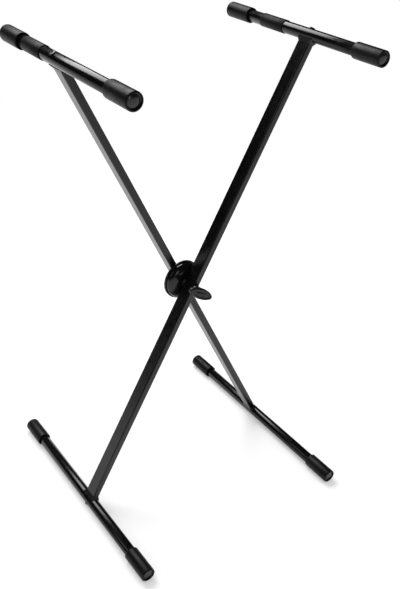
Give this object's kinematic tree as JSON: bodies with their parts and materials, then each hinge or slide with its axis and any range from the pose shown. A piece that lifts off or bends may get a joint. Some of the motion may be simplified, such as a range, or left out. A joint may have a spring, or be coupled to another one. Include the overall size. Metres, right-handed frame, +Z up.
{
  "type": "keyboard stand",
  "caption": "Single-braced folding X keyboard stand in black steel tube with rubber-capped bars and a clutch knob at the crossing.",
  "frame": {"origin": "centre of the bounding box's bottom face, on the floor under the pivot", "axes": "+Z up; +Y towards the back, away from the knob; +X across the X shape, towards the front leg's top"},
  "size_m": [0.4938, 0.496, 0.9088],
  "materials": {
    "powder_coat": "satin",
    "gloss_coat": "gloss",
    "rubber": "matte",
    "plastic": "matte",
    "gloss_plastic": "gloss",
    "zinc_steel": "satin",
    "black_steel": "satin"
  },
  "bodies": {
    "rear_leg": {"rear_leg": "powder_coat", "rear_top_bar": "gloss_coat", "rear_top_bar_back_cap": "rubber", "rear_top_bar_near_cap": "rubber", "rear_top_bar_saddle": "plastic", "rear_top_bar_bolt": "black_steel", "rear_top_bar_bolt_nut": "zinc_steel", "rear_foot_bar": "gloss_coat", "rear_foot_bar_back_cap": "rubber", "rear_foot_bar_near_cap": "rubber", "rear_foot_bar_saddle": "plastic", "rear_foot_bar_bolt": "black_steel", "rear_foot_bar_bolt_nut": "zinc_steel", "rear_leg_spacer": "zinc_steel", "rear_clutch_plate": "plastic", "clutch_spring": "zinc_steel", "pivot_bolt": "black_steel", "knob_washer": "black_steel"},
    "front_leg": {"front_leg": "powder_coat", "front_top_bar": "gloss_coat", "front_top_bar_back_cap": "rubber", "front_top_bar_near_cap": "rubber", "front_top_bar_saddle": "plastic", "front_top_bar_bolt": "black_steel", "front_top_bar_bolt_nut": "zinc_steel", "front_foot_bar": "gloss_coat", "front_foot_bar_back_cap": "rubber", "front_foot_bar_near_cap": "rubber", "front_foot_bar_saddle": "plastic", "front_foot_bar_bolt": "black_steel", "front_foot_bar_bolt_nut": "zinc_steel", "front_leg_spacer": "zinc_steel", "front_clutch_disc": "zinc_steel", "clutch_cover": "gloss_plastic"},
    "knob": {"wing_knob": "plastic", "knob_insert": "zinc_steel"},
    "rear_sleeve": {"rear_bar_sleeve": "rubber"},
    "front_sleeve": {"front_bar_sleeve": "rubber"}
  },
  "joints": [
    {"name": "fold", "type": "hinge", "parent": "rear_leg", "child": "front_leg", "pos_m": [0, 0, 0.45219], "axis": [0, 1, 0], "range_deg": [-51.5, 49.5]},
    {"name": "knob_turn", "type": "hinge", "parent": "rear_leg", "child": "knob", "pos_m": [0, 0, 0.45219], "axis": [0, 1, 0], "range_deg": [0, 450]},
    {"name": "rear_sleeve_slide", "type": "slide", "parent": "rear_leg", "child": "rear_sleeve", "axis": [0, 1, 0], "range_m": [-0.0185, 0.0145]},
    {"name": "front_sleeve_slide", "type": "slide", "parent": "front_leg", "child": "front_sleeve", "axis": [0, 1, 0], "range_m": [-0.0435, 0.0365]}
  ]
}
